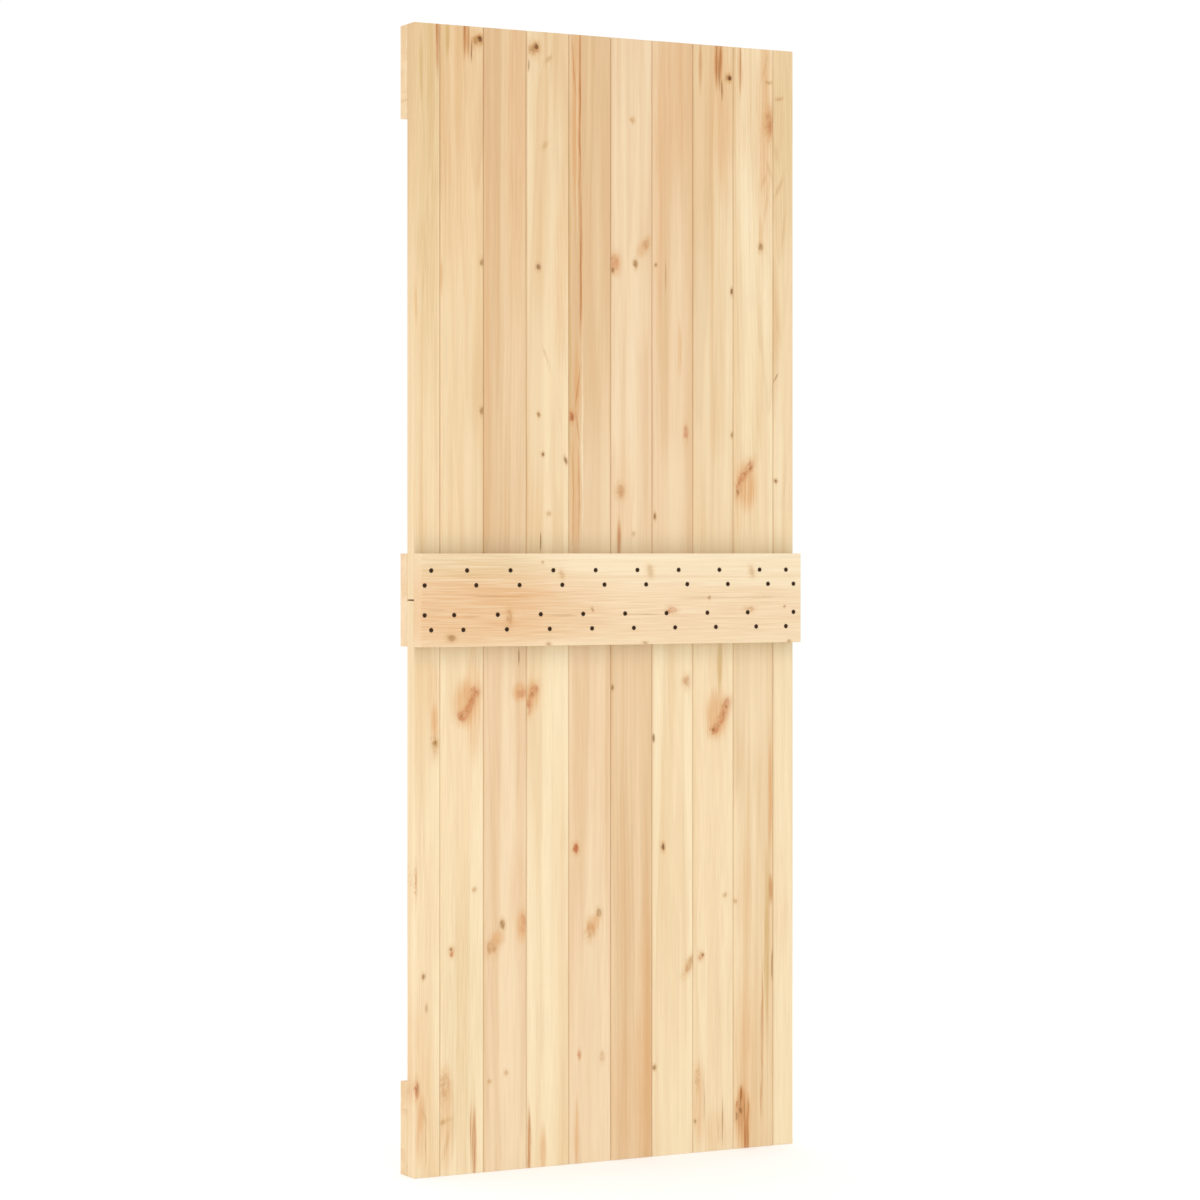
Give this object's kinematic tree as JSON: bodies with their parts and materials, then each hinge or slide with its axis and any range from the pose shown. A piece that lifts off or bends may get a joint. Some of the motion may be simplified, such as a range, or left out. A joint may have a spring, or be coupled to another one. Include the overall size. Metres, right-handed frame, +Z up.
{
  "type": "plank sliding door leaf",
  "caption": "Solid pine sliding door leaf of tongued and grooved upright planks, spliced at mid height by a screwed front rail and stiffened by flat rails on the back.",
  "frame": {"origin": "centre of the top face of the top back rail, where the door hangs", "axes": "+Z up along the planks, +Y from the front to the back through the thickness, +X to the right as seen from the front"},
  "size_m": [0.8, 0.09, 2.1],
  "materials": {
    "pine_plank": "planed, unfinished",
    "pine_rail": "planed, unfinished",
    "screw": "blackened"
  },
  "bodies": {
    "root": {"upper_left_edge_plank": "pine_plank", "upper_plank_1": "pine_plank", "upper_plank_2": "pine_plank", "upper_plank_3": "pine_plank", "upper_plank_4": "pine_plank", "upper_plank_5": "pine_plank", "upper_plank_6": "pine_plank", "upper_plank_7": "pine_plank", "upper_plank_8": "pine_plank", "upper_right_edge_plank": "pine_plank", "lower_left_edge_plank": "pine_plank", "lower_plank_1": "pine_plank", "lower_plank_2": "pine_plank", "lower_plank_3": "pine_plank", "lower_plank_4": "pine_plank", "lower_plank_5": "pine_plank", "lower_plank_6": "pine_plank", "lower_plank_7": "pine_plank", "lower_plank_8": "pine_plank", "lower_right_edge_plank": "pine_plank", "front_middle_rail": "pine_rail", "back_top_rail": "pine_rail", "back_middle_rail": "pine_rail", "back_bottom_rail": "pine_rail", "front_middle_rail_screws_row_1": "screw", "front_middle_rail_screws_row_2": "screw", "front_middle_rail_screws_row_3": "screw", "front_middle_rail_screws_row_4": "screw", "back_top_rail_screws_row_1": "screw", "back_top_rail_screws_row_2": "screw", "back_top_rail_screws_row_3": "screw", "back_top_rail_screws_row_4": "screw", "back_bottom_rail_screws_row_1": "screw", "back_bottom_rail_screws_row_2": "screw", "back_bottom_rail_screws_row_3": "screw", "back_bottom_rail_screws_row_4": "screw"}
  },
  "joints": []
}
